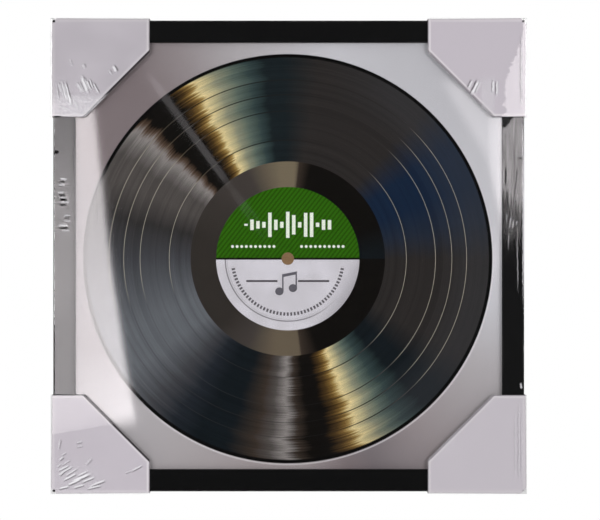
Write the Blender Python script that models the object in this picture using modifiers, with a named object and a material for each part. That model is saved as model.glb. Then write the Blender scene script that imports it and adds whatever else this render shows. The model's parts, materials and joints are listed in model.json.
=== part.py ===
"""A square black wall frame for a twelve-inch record, with its folded card corner protectors.

The frame faces -Y, with +Z up and +X to its viewer's right. The wall is the plane y = 0.
The origin is the middle notch of the sawtooth hanger, where the wall's nail carries the frame.
All lengths are in metres.
"""

import math

import bmesh
import bpy
from mathutils import Matrix, Vector

# Driving sizes of the moulding
OUTER_SIDE = 0.3465
FACE_WIDTH = 0.0162
LIP_THICKNESS = 0.003
LIP_REACH = 0.0035
FRONT_ROUND = 0.0009
SIGHT_ROUND = 0.0006
MITRE_GAP = 0.0003

# Sheets held in the rebate, from the front to the back
GLAZING_THICKNESS = 0.0015
INSERT_THICKNESS = 0.0006
FILLER_THICKNESS = 0.006
BACKBOARD_THICKNESS = 0.003
SHEET_PLAY = 0.0005
SEAT_GAP = 0.0003

# Bent nails across the mitres
MITRE_NAIL_LEG = 0.006
MITRE_NAIL_SHEET = 0.0006
MITRE_NAIL_HEIGHT = 0.007

# Turn buttons and their screws
BUTTON_HEAD_RADIUS = 0.0042
BUTTON_TIP_RADIUS = 0.0027
BUTTON_REACH = 0.0145
BUTTON_THICKNESS = 0.0008
BUTTON_BEND_START = 0.0105
BUTTON_TIP_LIFT = 0.0012
BUTTON_PLACE_SHARE = 0.6
SCREW_SHANK_RADIUS = 0.0013
SCREW_LENGTH = 0.009
SCREW_POINT = 0.003
SCREW_HEAD_RADIUS = 0.0028
SCREW_HEAD_HEIGHT = 0.0012
SCREW_HEAD_EDGE = 0.0004
RECESS_WIDTH = 0.0007
RECESS_ARM = 0.0016
RECESS_DEPTH = 0.0008

# Sawtooth hanger and its nails
HANGER_WIDTH = 0.045
HANGER_HEIGHT = 0.009
HANGER_SHEET = 0.0008
HANGER_RISE = 0.0016
HANGER_FOOT = 0.0055
HANGER_RAMP = 0.002
HANGER_CORNER = 0.002
TOOTH_PITCH = 0.003
TOOTH_DEPTH = 0.0015
NOTCHES_EACH_WAY = 4
NAIL_SHANK_RADIUS = 0.0007
NAIL_LENGTH = 0.008
NAIL_POINT = 0.002
NAIL_HEAD_RADIUS = 0.0017
NAIL_HEAD_HEIGHT = 0.0007
NAIL_HEAD_EDGE = 0.0003

# Folded card corner protectors
PROTECTOR_LENGTH = 0.071
PROTECTOR_END = 0.0235
CARD_THICKNESS = 0.0007
CARD_EASE = 0.0006
CARD_RELIEF = 0.0022
CARD_FOLD_RADIUS = 0.0005

# How finely the round forms are faceted
ARC_STEPS = 5
CIRCLE_STEPS = 24
TURN_STEPS = 20
FOLD_STEPS = 3
SHARP_ANGLE = math.radians(35)
FOLD_ANGLE = math.radians(40)
MERGE_DISTANCE = 0.000001
CUT_OVERRUN = 0.001

# Sizes that follow from the ones above
RAIL_DEPTH = (
    LIP_THICKNESS
    + GLAZING_THICKNESS
    + INSERT_THICKNESS
    + FILLER_THICKNESS
    + BACKBOARD_THICKNESS
    + 4 * SEAT_GAP
)
HALF_SIDE = OUTER_SIDE / 2
HALF_WINDOW = HALF_SIDE - FACE_WIDTH
HALF_REBATE = HALF_WINDOW + LIP_REACH
BACK_WIDTH = HALF_SIDE - HALF_REBATE
BACK_LINE = HALF_SIDE - BACK_WIDTH / 2
SHEET_SIDE = 2 * (HALF_REBATE - SHEET_PLAY)
BUTTON_PLACE = BUTTON_PLACE_SHARE * (HALF_SIDE - PROTECTOR_LENGTH)
BUTTON_UNDERSIDE = SEAT_GAP
SCREW_HEAD_SEAT = BUTTON_UNDERSIDE + BUTTON_THICKNESS + SEAT_GAP
NAIL_HEAD_SEAT = SEAT_GAP + HANGER_SHEET + SEAT_GAP
NAIL_PLACE = (HANGER_WIDTH - HANGER_FOOT) / 2
NOTCH_HEIGHT = BACK_LINE - HANGER_HEIGHT / 2 + TOOTH_DEPTH
WALL_DISTANCE = SEAT_GAP + HANGER_RISE + HANGER_SHEET
MITRE_NAIL_PLACE = (BACK_WIDTH - MITRE_NAIL_LEG) / 2

# Each side is the top one turned about Y: its name, its two ends and the corner that follows it
SIDES = (
    ("top", ("left", "right"), "top_right"),
    ("right", ("upper", "lower"), "bottom_right"),
    ("bottom", ("right", "left"), "bottom_left"),
    ("left", ("lower", "upper"), "top_left"),
)
QUARTER_TURN = math.pi / 2


def clear_scene():
    for item in list(bpy.data.objects):
        bpy.data.objects.remove(item, do_unlink=True)


def new_collection(name):
    collection = bpy.data.collections.new(name)
    bpy.context.scene.collection.children.link(collection)
    return collection


# Materials


def principled(name, colour, roughness, metallic=0.0):
    material = bpy.data.materials.new(name)
    material.use_nodes = True
    shader = material.node_tree.nodes["Principled BSDF"]
    shader.inputs["Base Color"].default_value = (*colour, 1.0)
    shader.inputs["Roughness"].default_value = roughness
    shader.inputs["Metallic"].default_value = metallic
    material.diffuse_color = (*colour, 1.0)
    return material


def black_wrap():
    return principled("black_wrap", (0.012, 0.012, 0.013), 0.45)


def clear_sheet():
    material = principled("clear_sheet", (0.95, 0.97, 0.96), 0.04)
    shader = material.node_tree.nodes["Principled BSDF"]
    shader.inputs["Transmission Weight"].default_value = 1.0
    return material


def printed_card():
    return principled("printed_card", (0.42, 0.4, 0.42), 0.5)


def corrugated_card():
    return principled("corrugated_card", (0.48, 0.34, 0.2), 0.85)


def hardboard():
    return principled("hardboard", (0.2, 0.12, 0.07), 0.7)


def plated_steel():
    return principled("plated_steel", (0.62, 0.62, 0.6), 0.3, 1.0)


def brassed_steel():
    return principled("brassed_steel", (0.72, 0.55, 0.25), 0.32, 1.0)


def white_card():
    return principled("white_card", (0.52, 0.48, 0.53), 0.6)


# Shapes


def arc(centre, radius, start, turn, steps=ARC_STEPS):
    """Points on an arc, from its start angle through its turn, both in radians."""
    angles = [start + turn * step / steps for step in range(steps + 1)]
    return [
        (centre[0] + radius * math.cos(angle), centre[1] + radius * math.sin(angle))
        for angle in angles
    ]


def circle(centre, radius):
    return arc(centre, radius, 0, math.tau, CIRCLE_STEPS)[:-1]


def weld(mesh):
    """Joins points that meet and turns every face outwards."""
    shape = bmesh.new()
    shape.from_mesh(mesh)
    bmesh.ops.remove_doubles(shape, verts=shape.verts, dist=MERGE_DISTANCE)
    bmesh.ops.recalc_face_normals(shape, faces=shape.faces)
    shape.to_mesh(mesh)
    shape.free()
    return mesh


def evaluated_mesh(holder):
    """The mesh that an object has after its modifiers, or a curve after its fill. The object goes."""
    bpy.context.scene.collection.objects.link(holder)
    graph = bpy.context.evaluated_depsgraph_get()
    mesh = bpy.data.meshes.new_from_object(holder.evaluated_get(graph))
    bpy.data.objects.remove(holder, do_unlink=True)
    return weld(mesh)


def outline_mesh(name, loops, thickness):
    """A plate on the XY plane, centred in its thickness, from its outer loop and its holes."""
    curve = bpy.data.curves.new(name, "CURVE")
    curve.dimensions = "2D"
    curve.fill_mode = "BOTH"
    curve.extrude = thickness / 2
    for loop in loops:
        spline = curve.splines.new("POLY")
        spline.points.add(len(loop) - 1)
        for point, (x, y) in zip(spline.points, loop):
            point.co = (x, y, 0, 1)
        spline.use_cyclic_u = True
    return evaluated_mesh(bpy.data.objects.new(name, curve))


def plate_mesh(name, loops, low, high):
    """A plate on the XZ plane that reaches from one depth to another along Y."""
    mesh = outline_mesh(name, loops, high - low)
    upright = Matrix.Rotation(QUARTER_TURN, 4, "X")
    mesh.transform(Matrix.Translation((0, (low + high) / 2, 0)) @ upright)
    return mesh


def turned_mesh(name, profile):
    """A solid turned about Y, from radius and height points that run down its outer side."""
    mesh = bpy.data.meshes.new(name)
    edges = [(index, index + 1) for index in range(len(profile) - 1)]
    mesh.from_pydata([(radius, 0, height) for radius, height in profile], edges, [])
    holder = bpy.data.objects.new(name, mesh)
    screw = holder.modifiers.new("turn", "SCREW")
    screw.angle = math.tau
    screw.steps = TURN_STEPS
    screw.render_steps = TURN_STEPS
    screw.use_merge_vertices = True
    screw.merge_threshold = MERGE_DISTANCE
    turned = evaluated_mesh(holder)
    turned.transform(Matrix.Rotation(-QUARTER_TURN, 4, "X"))
    return turned


def cut_mesh(mesh, cutter_mesh):
    """A mesh with another cut out of it."""
    cutter = bpy.data.objects.new("cutter", cutter_mesh)
    bpy.context.scene.collection.objects.link(cutter)
    holder = bpy.data.objects.new(mesh.name, mesh)
    add_cut(holder, cutter)
    result = evaluated_mesh(holder)
    bpy.data.objects.remove(cutter, do_unlink=True)
    return result


def add_cut(piece, cutter):
    cut = piece.modifiers.new("cut", "BOOLEAN")
    cut.operation = "DIFFERENCE"
    cut.solver = "EXACT"
    cut.object = cutter


def joined_mesh(name, meshes):
    """Separate closed shapes in one mesh, as a cutter may have."""
    shape = bmesh.new()
    for mesh in meshes:
        shape.from_mesh(mesh)
    joined = bpy.data.meshes.new(name)
    shape.to_mesh(joined)
    shape.free()
    return joined


def bisect(mesh, point, normal, trim=False):
    """Scores a mesh along a plane, or trims off what lies beyond the plane and closes the cut."""
    shape = bmesh.new()
    shape.from_mesh(mesh)
    everything = shape.verts[:] + shape.edges[:] + shape.faces[:]
    bmesh.ops.bisect_plane(
        shape,
        geom=everything,
        dist=MERGE_DISTANCE,
        plane_co=point,
        plane_no=normal,
        clear_outer=trim,
    )
    if trim:
        rim = [edge for edge in shape.edges if edge.is_boundary]
        bmesh.ops.holes_fill(shape, edges=rim)
    bmesh.ops.recalc_face_normals(shape, faces=shape.faces)
    shape.to_mesh(mesh)
    shape.free()


def shade_round(mesh):
    mesh.shade_smooth()
    mesh.set_sharp_from_angle(angle=SHARP_ANGLE)


# Placing


def place(name, mesh, material, collection, parent, location=(0, 0, 0)):
    piece = bpy.data.objects.new(name, mesh)
    if material.name not in mesh.materials:
        mesh.materials.append(material)
    collection.objects.link(piece)
    piece.parent = parent
    piece.location = location
    return piece


def place_cutter(name, mesh, collection, parent):
    cutter = bpy.data.objects.new(name, mesh)
    collection.objects.link(cutter)
    cutter.parent = parent
    cutter.hide_render = True
    cutter.display_type = "WIRE"
    return cutter


def add_empty(name, collection, parent=None, location=(0, 0, 0), turn=0.0):
    empty = bpy.data.objects.new(name, None)
    collection.objects.link(empty)
    empty.parent = parent
    empty.location = location
    empty.rotation_euler = (0, turn, 0)
    return empty


# Moulding


def moulding_section():
    """The top rail's section as depth and height points, with the rebate behind the lip."""
    front = -RAIL_DEPTH
    lip_back = front + LIP_THICKNESS
    face_edge = (front + FRONT_ROUND, HALF_SIDE - FRONT_ROUND)
    sight_edge = (front + SIGHT_ROUND, HALF_WINDOW + SIGHT_ROUND)
    return [
        (0, HALF_SIDE),
        *arc(face_edge, FRONT_ROUND, QUARTER_TURN, QUARTER_TURN),
        *arc(sight_edge, SIGHT_ROUND, math.pi, QUARTER_TURN),
        (lip_back, HALF_WINDOW),
        (lip_back, HALF_REBATE),
        (0, HALF_REBATE),
    ]


def rail_mesh():
    """A length of moulding with its ends mitred towards the frame's centre."""
    mesh = outline_mesh("rail", [moulding_section()], OUTER_SIDE)
    mesh.transform(Matrix(((0, 0, 1, 0), (1, 0, 0, 0), (0, 1, 0, 0), (0, 0, 0, 1))))
    for end in (1, -1):
        normal = Vector((end, 0, -1)).normalized()
        bisect(mesh, -normal * MITRE_GAP / 2, normal, trim=True)
    return mesh


def mitre_nail_loop(end, spare):
    """The bent nail's outline at one end of the top rail, grown by a spare width all round."""
    near = MITRE_NAIL_PLACE - spare
    inner = MITRE_NAIL_PLACE + MITRE_NAIL_SHEET + spare
    far = MITRE_NAIL_PLACE + MITRE_NAIL_LEG + spare
    corner_points = ((near, near), (far, near), (far, inner), (inner, inner), (inner, far), (near, far))
    return [(end * (HALF_SIDE - x), HALF_SIDE - z) for x, z in corner_points]


def rail_cutter_mesh(pin_places, pin_radius, pin_depth):
    """The slots for the mitre nails, and the pilot holes for the screws and for any other pins."""
    slot_floor = -(MITRE_NAIL_HEIGHT + 2 * SEAT_GAP)
    slots = [
        plate_mesh("slot", [mitre_nail_loop(end, SEAT_GAP)], slot_floor, CUT_OVERRUN)
        for end in (1, -1)
    ]
    screw_floor = SCREW_HEAD_SEAT - SCREW_LENGTH - SEAT_GAP
    pilot_radius = SCREW_SHANK_RADIUS + SEAT_GAP
    pilots = [
        plate_mesh("pilot", [circle((x, BACK_LINE), pilot_radius)], screw_floor, CUT_OVERRUN)
        for x in (-BUTTON_PLACE, BUTTON_PLACE)
    ]
    pins = [
        plate_mesh("pin", [circle(spot, pin_radius)], pin_depth, CUT_OVERRUN)
        for spot in pin_places
    ]
    return joined_mesh("rail_cutter", slots + pilots + pins)


def mitre_nail_mesh():
    loop = mitre_nail_loop(1, 0)
    return plate_mesh("mitre_nail", [loop], -(MITRE_NAIL_HEIGHT + SEAT_GAP), -SEAT_GAP)


# Sheets


def sheet_mesh(name, thickness):
    half = SHEET_SIDE / 2
    shape = bmesh.new()
    bmesh.ops.create_cube(shape, size=1)
    bmesh.ops.scale(shape, vec=(2 * half, thickness, 2 * half), verts=shape.verts)
    mesh = bpy.data.meshes.new(name)
    shape.to_mesh(mesh)
    shape.free()
    return mesh


def add_sheets(collection, centre):
    """The sheets lie on the lip in turn, each a seat gap behind the last."""
    sheets = (
        ("glazing", GLAZING_THICKNESS, clear_sheet()),
        ("insert_card", INSERT_THICKNESS, printed_card()),
        ("filler_board", FILLER_THICKNESS, corrugated_card()),
        ("backboard", BACKBOARD_THICKNESS, hardboard()),
    )
    front = LIP_THICKNESS - RAIL_DEPTH
    for name, thickness, material in sheets:
        front += SEAT_GAP
        middle = front + thickness / 2
        place(name, sheet_mesh(name, thickness), material, collection, centre, (0, middle, 0))
        front += thickness


# Turn buttons


def button_mesh():
    """A turn button with its pivot at the origin, its arm down -Z and its tip bent clear."""
    lean = math.asin((BUTTON_HEAD_RADIUS - BUTTON_TIP_RADIUS) / BUTTON_REACH)
    head = arc((0, 0), BUTTON_HEAD_RADIUS, -lean, math.pi + 2 * lean, 4 * ARC_STEPS)
    tip = arc((0, -BUTTON_REACH), BUTTON_TIP_RADIUS, math.pi + lean, math.pi - 2 * lean, 2 * ARC_STEPS)
    hole = circle((0, 0), SCREW_SHANK_RADIUS + SEAT_GAP)
    top = BUTTON_UNDERSIDE + BUTTON_THICKNESS
    mesh = plate_mesh("turn_button", [head + tip, hole], BUTTON_UNDERSIDE, top)
    bisect(mesh, (0, 0, -BUTTON_BEND_START), (0, 0, -1))
    bent_length = BUTTON_REACH + BUTTON_TIP_RADIUS - BUTTON_BEND_START
    for vertex in mesh.vertices:
        beyond = max(0, -BUTTON_BEND_START - vertex.co.z)
        vertex.co.y += BUTTON_TIP_LIFT * beyond / bent_length
    return mesh


def dome(radius, height, edge):
    """The upper side of a pin's head: a low dome down to its straight edge."""
    return [
        (
            radius * math.sin(QUARTER_TURN * step / ARC_STEPS),
            edge + (height - edge) * math.cos(QUARTER_TURN * step / ARC_STEPS),
        )
        for step in range(ARC_STEPS + 1)
    ]


def pin_profile(head, shank_radius, length, point):
    """A pin whose head seats at height zero, with its shank and its point below."""
    return [
        *head,
        (head[-1][0], 0),
        (shank_radius, 0),
        (shank_radius, point - length),
        (0, -length),
    ]


def recess_loop():
    """A cross, walked round one quarter at a time."""
    half = RECESS_WIDTH / 2
    quarter = ((RECESS_ARM, -half), (RECESS_ARM, half), (half, half))
    loop = []
    for turn in range(4):
        corner = Matrix.Rotation(turn * QUARTER_TURN, 2)
        loop += [tuple(corner @ Vector(point)) for point in quarter]
    return loop


def screw_mesh():
    head = dome(SCREW_HEAD_RADIUS, SCREW_HEAD_HEIGHT, SCREW_HEAD_EDGE)
    blank = turned_mesh("button_screw", pin_profile(head, SCREW_SHANK_RADIUS, SCREW_LENGTH, SCREW_POINT))
    recess_floor = SCREW_HEAD_HEIGHT - RECESS_DEPTH
    recess = plate_mesh("recess", [recess_loop()], recess_floor, SCREW_HEAD_HEIGHT + CUT_OVERRUN)
    return cut_mesh(blank, recess)


# Sawtooth hanger


def hanger_loop():
    """The hanger's outline, with its notches along the lower edge and the middle one at zero."""
    half = HANGER_WIDTH / 2
    low = -TOOTH_DEPTH
    high = HANGER_HEIGHT - TOOTH_DEPTH
    inset = HANGER_CORNER
    teeth = []
    for notch in range(-NOTCHES_EACH_WAY, NOTCHES_EACH_WAY + 1):
        root = notch * TOOTH_PITCH
        teeth += [(root - TOOTH_PITCH / 2, low), (root, 0)]
    teeth.append((NOTCHES_EACH_WAY * TOOTH_PITCH + TOOTH_PITCH / 2, low))
    return [
        *arc((inset - half, low + inset), inset, math.pi, QUARTER_TURN),
        *teeth,
        *arc((half - inset, low + inset), inset, -QUARTER_TURN, QUARTER_TURN),
        *arc((half - inset, high - inset), inset, 0, QUARTER_TURN),
        *arc((inset - half, high - inset), inset, QUARTER_TURN, QUARTER_TURN),
    ]


def hanger_mesh():
    """The toothed plate, pressed so that its middle stands off the rail between two feet."""
    nail_height = HANGER_HEIGHT / 2 - TOOTH_DEPTH
    holes = [circle((x, nail_height), NAIL_SHANK_RADIUS + SEAT_GAP) for x in (-NAIL_PLACE, NAIL_PLACE)]
    mesh = plate_mesh("sawtooth_hanger", [hanger_loop(), *holes], SEAT_GAP, SEAT_GAP + HANGER_SHEET)
    foot_edge = HANGER_WIDTH / 2 - HANGER_FOOT
    for end in (1, -1):
        bisect(mesh, (end * foot_edge, 0, 0), (end, 0, 0))
        bisect(mesh, (end * (foot_edge - HANGER_RAMP), 0, 0), (end, 0, 0))
    for vertex in mesh.vertices:
        climb = (foot_edge - abs(vertex.co.x)) / HANGER_RAMP
        vertex.co.y += HANGER_RISE * min(1, max(0, climb))
    return mesh


def nail_mesh():
    head = dome(NAIL_HEAD_RADIUS, NAIL_HEAD_HEIGHT, NAIL_HEAD_EDGE)
    return turned_mesh("hanger_nail", pin_profile(head, NAIL_SHANK_RADIUS, NAIL_LENGTH, NAIL_POINT))


def nail_spots():
    return [(x, BACK_LINE) for x in (-NAIL_PLACE, NAIL_PLACE)]


def add_hanger(collection, centre):
    steel = brassed_steel()
    hanger = hanger_mesh()
    place("sawtooth_hanger", hanger, steel, collection, centre, (0, 0, NOTCH_HEIGHT))
    nail = nail_mesh()
    shade_round(nail)
    for name, (x, z) in zip(("hanger_nail_left", "hanger_nail_right"), nail_spots()):
        place(name, nail, steel, collection, centre, (x, NAIL_HEAD_SEAT, z))


# Corner protectors


def card_mesh():
    """The inner face of the front half of a folded card, from its corner at the origin."""
    near = -SEAT_GAP
    tip = near - CARD_EASE
    half_depth = RAIL_DEPTH / 2 + SEAT_GAP
    front_points = (
        (CARD_RELIEF, tip),
        (PROTECTOR_LENGTH, near),
        (PROTECTOR_LENGTH, PROTECTOR_END),
        (PROTECTOR_END, PROTECTOR_LENGTH),
        (near, PROTECTOR_LENGTH),
        (tip, CARD_RELIEF),
    )
    shape = bmesh.new()
    corners = [shape.verts.new((-x, -half_depth, -z)) for x, z in front_points]
    shape.faces.new(corners)
    shape.edges.ensure_lookup_table()
    folds = [shape.edges.get((corners[0], corners[1])), shape.edges.get((corners[4], corners[5]))]
    walls = bmesh.ops.extrude_edge_only(shape, edges=folds)
    wall_verts = [item for item in walls["geom"] if isinstance(item, bmesh.types.BMVert)]
    bmesh.ops.translate(shape, verts=wall_verts, vec=(0, half_depth, 0))
    bmesh.ops.recalc_face_normals(shape, faces=shape.faces)
    front = shape.faces[:][0]
    if front.normal.y > 0:
        bmesh.ops.reverse_faces(shape, faces=shape.faces)
    mesh = bpy.data.meshes.new("corner_protector")
    shape.to_mesh(mesh)
    shape.free()
    return mesh


def add_protector(name, mesh, material, collection, side):
    """The card half, mirrored to the back, rounded at its folds and given its thickness."""
    corner = (HALF_SIDE, -RAIL_DEPTH / 2, HALF_SIDE)
    piece = place(name, mesh, material, collection, side, corner)
    mirror = piece.modifiers.new("other_half", "MIRROR")
    mirror.use_axis = (False, True, False)
    mirror.merge_threshold = MERGE_DISTANCE
    fold = piece.modifiers.new("folds", "BEVEL")
    fold.limit_method = "ANGLE"
    fold.angle_limit = FOLD_ANGLE
    fold.width = CARD_FOLD_RADIUS
    fold.segments = FOLD_STEPS
    card = piece.modifiers.new("card", "SOLIDIFY")
    card.thickness = CARD_THICKNESS
    card.offset = 1.0
    card.use_even_offset = True


# The whole object


def add_side(number, pieces, cutters, centre, shared):
    """One side of the frame: its rail, its two turn buttons and the corner at its right end."""
    side_name, ends, corner_name = SIDES[number]
    side = add_empty(f"side_{side_name}", pieces, centre, turn=number * QUARTER_TURN)
    rail = place(f"rail_{side_name}", shared["rail"].copy(), shared["black"], pieces, side)
    spots = nail_spots() if side_name == "top" else []
    pin_floor = NAIL_HEAD_SEAT - NAIL_LENGTH - SEAT_GAP
    slots = rail_cutter_mesh(spots, NAIL_SHANK_RADIUS + SEAT_GAP, pin_floor)
    add_cut(rail, place_cutter(f"rail_{side_name}_cutter", slots, cutters, side))
    for end, x in zip(ends, (-BUTTON_PLACE, BUTTON_PLACE)):
        spot = (x, 0, BACK_LINE)
        head_spot = (x, SCREW_HEAD_SEAT, BACK_LINE)
        place(f"turn_button_{side_name}_{end}", shared["button"], shared["steel"], pieces, side, spot)
        place(f"button_screw_{side_name}_{end}", shared["screw"], shared["steel"], pieces, side, head_spot)
    place(f"mitre_nail_{corner_name}", shared["mitre_nail"], shared["steel"], pieces, side)
    protector_name = f"corner_protector_{corner_name}"
    add_protector(protector_name, shared["card_half"], shared["card"], pieces, side)


def build():
    clear_scene()
    pieces = new_collection("vinyl_record_frame")
    cutters = new_collection("cutters")
    centre = add_empty("frame_centre", pieces, location=(0, -WALL_DISTANCE, -NOTCH_HEIGHT))
    shared = {
        "rail": rail_mesh(),
        "button": button_mesh(),
        "screw": screw_mesh(),
        "mitre_nail": mitre_nail_mesh(),
        "card_half": card_mesh(),
        "black": black_wrap(),
        "steel": plated_steel(),
        "card": white_card(),
    }
    for name in ("button", "screw"):
        shade_round(shared[name])
    add_sheets(pieces, centre)
    add_hanger(pieces, centre)
    for number in range(len(SIDES)):
        add_side(number, pieces, cutters, centre, shared)
    bpy.context.view_layer.update()


build()
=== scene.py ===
import json
import math
from functools import reduce

import bpy
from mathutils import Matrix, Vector, noise


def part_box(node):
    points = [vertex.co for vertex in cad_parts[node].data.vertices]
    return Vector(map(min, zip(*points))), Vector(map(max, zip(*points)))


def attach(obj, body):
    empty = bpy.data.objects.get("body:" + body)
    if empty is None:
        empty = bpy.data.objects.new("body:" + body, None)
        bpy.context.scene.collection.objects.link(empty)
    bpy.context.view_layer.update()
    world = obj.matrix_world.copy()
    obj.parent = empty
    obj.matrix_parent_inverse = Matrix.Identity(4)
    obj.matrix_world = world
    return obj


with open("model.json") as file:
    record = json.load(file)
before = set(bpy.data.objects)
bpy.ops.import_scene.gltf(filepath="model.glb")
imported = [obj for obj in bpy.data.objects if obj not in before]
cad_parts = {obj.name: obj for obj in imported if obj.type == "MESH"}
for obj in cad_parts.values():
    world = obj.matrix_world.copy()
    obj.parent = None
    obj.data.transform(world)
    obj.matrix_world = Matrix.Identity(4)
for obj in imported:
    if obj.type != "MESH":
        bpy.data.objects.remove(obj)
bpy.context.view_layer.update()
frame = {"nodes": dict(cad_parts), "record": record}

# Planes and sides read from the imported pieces
TOP_LOW, TOP_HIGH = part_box("rail_top")
BOTTOM_LOW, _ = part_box("rail_bottom")
CARD_LOW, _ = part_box("corner_protector_top_right")
RAIL_FRONT = TOP_LOW.y
RAIL_BACK = TOP_HIGH.y
HALF_SIDE = TOP_HIGH.x
MIDDLE_HEIGHT = (TOP_HIGH.z + BOTTOM_LOW.z) / 2
CARD_REACH = HALF_SIDE - CARD_LOW.x

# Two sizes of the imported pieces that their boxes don't give
HALF_WINDOW = 0.15705
CARD_END = 0.0235

CARD_DIAGONAL = CARD_REACH + CARD_END
MM = 1000.0
QUARTER_TURN = math.pi / 2
CORNERS = (
    ("top_left", -1, 1), ("top_right", 1, 1),
    ("bottom_left", -1, -1), ("bottom_right", 1, -1),
)
SIDES = ((1, 0, 0), (-1, 0, 0), (0, 0, 1), (0, 0, -1))

# Camera: square on, with the object a little left of the middle and above it
CAMERA_DISTANCE = 1.6
CAMERA_LENS = 130.5
CAMERA_SHIFT = (0.0188, -0.0067)

# Studio: a panel shows smaller in the film than it is, by the spread
AMBIENT = 0.45
FLOOR_HEIGHT = -0.75
FLOOR_SIDE = 3.4
SCREEN_RADIUS = 3.4
SCREEN_HEIGHT = 7.0
SCREEN_EDGE = -0.9
SCREEN_GLOW = 0.004
PANEL_DISTANCE = 1.3
PANEL_SPREAD = 1 + PANEL_DISTANCE / CAMERA_DISTANCE
PANEL_LIGHT = (1.0, 0.945, 0.965, 1.0)

# Shrink film
FILM_GAP = 0.0002
FILM_THICKNESS = 0.00008
FILM_FOLD = 0.0008
FILM_RETURN = 0.0018
FILM_FLAT = 0.0012
FILM_CELLS = 44
CORNER_CELLS = 30
BARE_EDGE = 0.0004
RIPPLE_HEIGHT = 0.00002
RIPPLE_LENGTH = 0.05
MERGE = 0.00001

# How much each clear sheet mirrors, seen square on
GLAZING_GLOSS = 0.04
FILM_GLOSS = 0.048
CORNER_GLOSS = 0.045


# Colours and fields


def ink(red, green, blue):
    """A colour given from 0 to 255, as the light it reflects."""
    levels = [level / 255 for level in (red, green, blue)]
    return tuple(
        level / 12.92 if level <= 0.04045 else ((level + 0.055) / 1.055) ** 2.4
        for level in levels
    ) + (1.0,)


def add_node(tree, kind, **settings):
    """A shader node, with its settings."""
    node = tree.nodes.new("ShaderNode" + kind)
    for name, value in settings.items():
        setattr(node, name, value)
    return node


class Field:
    """A value that changes over a surface. Sums and products of fields become Math nodes."""

    def __init__(self, tree, socket):
        self.tree = tree
        self.socket = socket

    def math(self, operation, *others):
        node = add_node(self.tree, "Math", operation=operation)
        for slot, value in zip(node.inputs, (self, *others)):
            feed(self.tree, slot, value)
        return Field(self.tree, node.outputs[0])

    def __add__(self, other):
        return self.math("ADD", other)

    def __sub__(self, other):
        return self.math("SUBTRACT", other)

    def __mul__(self, other):
        return self.math("MULTIPLY", other)

    def __truediv__(self, other):
        return self.math("DIVIDE", other)

    def size(self):
        return self.math("ABSOLUTE")

    def root(self):
        return self.math("SQRT")

    def least(self, other):
        return self.math("MINIMUM", other)

    def most(self, other):
        return self.math("MAXIMUM", other)

    def power(self, exponent):
        return self.math("POWER", exponent)

    def repeat(self, pitch):
        """The distance from the nearest multiple of the pitch."""
        return (self / pitch + 0.5).math("FRACT") * pitch - pitch / 2


def feed(tree, slot, value):
    """Links a field or a socket to a slot, or sets the slot to a plain value."""
    if isinstance(value, Field):
        value = value.socket
    if isinstance(value, bpy.types.NodeSocket):
        tree.links.new(value, slot)
    else:
        slot.default_value = value


def rise(field, low, high):
    """Climbs smoothly from 0 at low to 1 at high, or falls where low is the greater."""
    node = add_node(field.tree, "MapRange", interpolation_type="SMOOTHSTEP")
    feed(field.tree, node.inputs[0], field)
    node.inputs[1].default_value = low
    node.inputs[2].default_value = high
    return Field(field.tree, node.outputs[0])


def band(field, middle, half, soft):
    """1 within half a width of the middle, with a soft edge."""
    return rise((field - middle).size(), half + soft, half - soft)


def ramp(field, stops):
    """A colour that runs through stops of place and ink."""
    node = add_node(field.tree, "ValToRGB")
    elements = node.color_ramp.elements
    while len(elements) < len(stops):
        elements.new(1.0)
    for element, (place, colour) in zip(elements, stops):
        element.position = place
        element.color = colour
    feed(field.tree, node.inputs[0], field)
    return node.outputs[0]


def blend(tree, first, second, share, kind="MIX"):
    """One colour turned into another by a share."""
    node = add_node(tree, "Mix", data_type="RGBA", blend_type=kind)
    feed(tree, node.inputs[0], share)
    feed(tree, node.inputs[6], first)
    feed(tree, node.inputs[7], second)
    return node.outputs[2]


def grey(field):
    """A field as a colour of equal parts."""
    node = add_node(field.tree, "CombineColor")
    for slot in node.inputs:
        feed(field.tree, slot, field)
    return node.outputs[0]


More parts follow.
